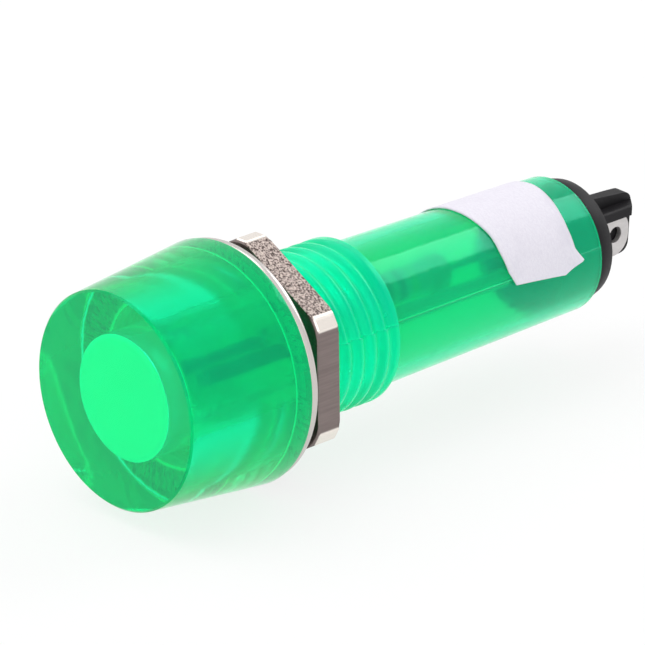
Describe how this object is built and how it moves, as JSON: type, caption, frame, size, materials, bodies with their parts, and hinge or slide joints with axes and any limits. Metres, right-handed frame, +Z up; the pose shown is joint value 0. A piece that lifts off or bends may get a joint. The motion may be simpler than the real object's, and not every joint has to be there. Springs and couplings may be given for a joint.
{
  "type": "panel pilot light",
  "caption": "Round green neon indicator with a tapered clear lens, threaded barrel, washer, thin hex nut and two rear solder lugs.",
  "frame": {"origin": "centre of the head's rear seating face, which bears on the panel", "axes": "+Y along the axis from the lens towards the solder lugs, +Z up, +X to the right seen from the lens"},
  "size_m": [0.0146, 0.0415, 0.0146],
  "materials": {
    "green_lens": "transparent green, polished",
    "nickel_plate": "nickel plate over stamped and turned steel",
    "paper": "bare white paper label",
    "black_plastic": "moulded black, satin",
    "tinned_metal": "tinned",
    "lamp_glass": "clear",
    "electrode_metal": "dull nickel",
    "sleeve_plastic": "satin insulating sleeve",
    "resistor_coat": "lacquer"
  },
  "bodies": {
    "housing": {"lens_body": "green_lens", "label": "paper", "rear_plug": "black_plastic", "terminal_right": "tinned_metal", "terminal_left": "tinned_metal", "bulb_glass": "lamp_glass", "electrode_right": "electrode_metal", "electrode_left": "electrode_metal", "lead_right": "tinned_metal", "lead_left": "tinned_metal", "lead_sleeve": "sleeve_plastic", "resistor": "resistor_coat", "resistor_lead_front": "tinned_metal", "resistor_lead_rear": "tinned_metal", "splice_solder": "tinned_metal", "splice_sleeve": "black_plastic", "solder_right": "tinned_metal", "solder_left": "tinned_metal"},
    "washer": {"washer": "nickel_plate"},
    "nut": {"hex_nut": "nickel_plate"}
  },
  "joints": [
    {"name": "nut_travel", "type": "slide", "parent": "housing", "child": "washer", "axis": [0, 1, 0], "range_m": [0, 0.0055]},
    {"name": "nut_turn", "type": "hinge", "parent": "washer", "child": "nut", "pos_m": [0, 0.0022, 0], "axis": [0, 1, 0], "range_deg": [0, 1980]}
  ],
  "couplings": [
    {"joint": "nut_turn", "follows": "nut_travel", "rad_per_m": 6283.2}
  ]
}
